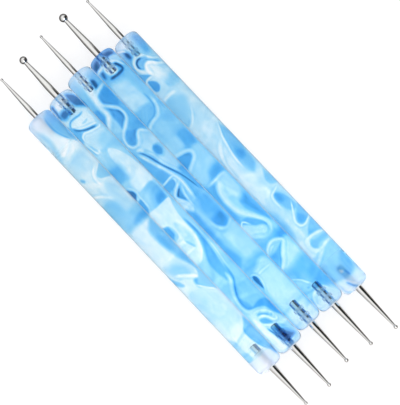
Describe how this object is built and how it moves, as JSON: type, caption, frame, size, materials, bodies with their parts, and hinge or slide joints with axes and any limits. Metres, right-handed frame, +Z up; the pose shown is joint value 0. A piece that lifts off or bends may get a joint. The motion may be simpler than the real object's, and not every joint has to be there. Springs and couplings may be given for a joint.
{
  "type": "embossing stylus",
  "caption": "Row of loose double-ended ball-tip embossing styluses: marbled sky-blue acrylic rods with a slim tapered steel point glued into each end.",
  "frame": {"origin": "on the surface that the styluses lie on, under the middle of the whole row", "axes": "+X along the styluses towards their right points (the lower right of the picture), +Y across the row towards stylus 5 (the upper right of the picture), +Z up"},
  "size_m": [0.1278, 0.0404, 0.008],
  "materials": {
    "marbled_acrylic_1": "polished translucent acrylic, sky blue with pale cyan and white marbling",
    "marbled_acrylic_2": "polished translucent acrylic, sky blue with pale cyan and white marbling",
    "marbled_acrylic_3": "polished translucent acrylic, sky blue with pale cyan and white marbling",
    "marbled_acrylic_4": "polished translucent acrylic, sky blue with pale cyan and white marbling",
    "marbled_acrylic_5": "polished translucent acrylic, sky blue with pale cyan and white marbling",
    "plated_steel": "mirror-polished nickel-plated steel",
    "clear_adhesive": "cured clear adhesive"
  },
  "bodies": {
    "stylus_3": {"stylus_3_handle": "marbled_acrylic_3", "stylus_3_left_point": "plated_steel", "stylus_3_left_adhesive": "clear_adhesive", "stylus_3_right_point": "plated_steel", "stylus_3_right_adhesive": "clear_adhesive"},
    "stylus_1": {"stylus_1_handle": "marbled_acrylic_1", "stylus_1_left_point": "plated_steel", "stylus_1_left_adhesive": "clear_adhesive", "stylus_1_right_point": "plated_steel", "stylus_1_right_adhesive": "clear_adhesive"},
    "stylus_2": {"stylus_2_handle": "marbled_acrylic_2", "stylus_2_left_point": "plated_steel", "stylus_2_left_adhesive": "clear_adhesive", "stylus_2_right_point": "plated_steel", "stylus_2_right_adhesive": "clear_adhesive"},
    "stylus_4": {"stylus_4_handle": "marbled_acrylic_4", "stylus_4_left_point": "plated_steel", "stylus_4_left_adhesive": "clear_adhesive", "stylus_4_right_point": "plated_steel", "stylus_4_right_adhesive": "clear_adhesive"},
    "stylus_5": {"stylus_5_handle": "marbled_acrylic_5", "stylus_5_left_point": "plated_steel", "stylus_5_left_adhesive": "clear_adhesive", "stylus_5_right_point": "plated_steel", "stylus_5_right_adhesive": "clear_adhesive"}
  },
  "joints": [
    {"name": "stylus_1_lift", "type": "slide", "parent": "stylus_3", "child": "stylus_1", "axis": [0, 0, 1], "range_m": [0, 0.04]},
    {"name": "stylus_2_lift", "type": "slide", "parent": "stylus_3", "child": "stylus_2", "axis": [0, 0, 1], "range_m": [0, 0.04]},
    {"name": "stylus_4_lift", "type": "slide", "parent": "stylus_3", "child": "stylus_4", "axis": [0, 0, 1], "range_m": [0, 0.04]},
    {"name": "stylus_5_lift", "type": "slide", "parent": "stylus_3", "child": "stylus_5", "axis": [0, 0, 1], "range_m": [0, 0.04]}
  ]
}
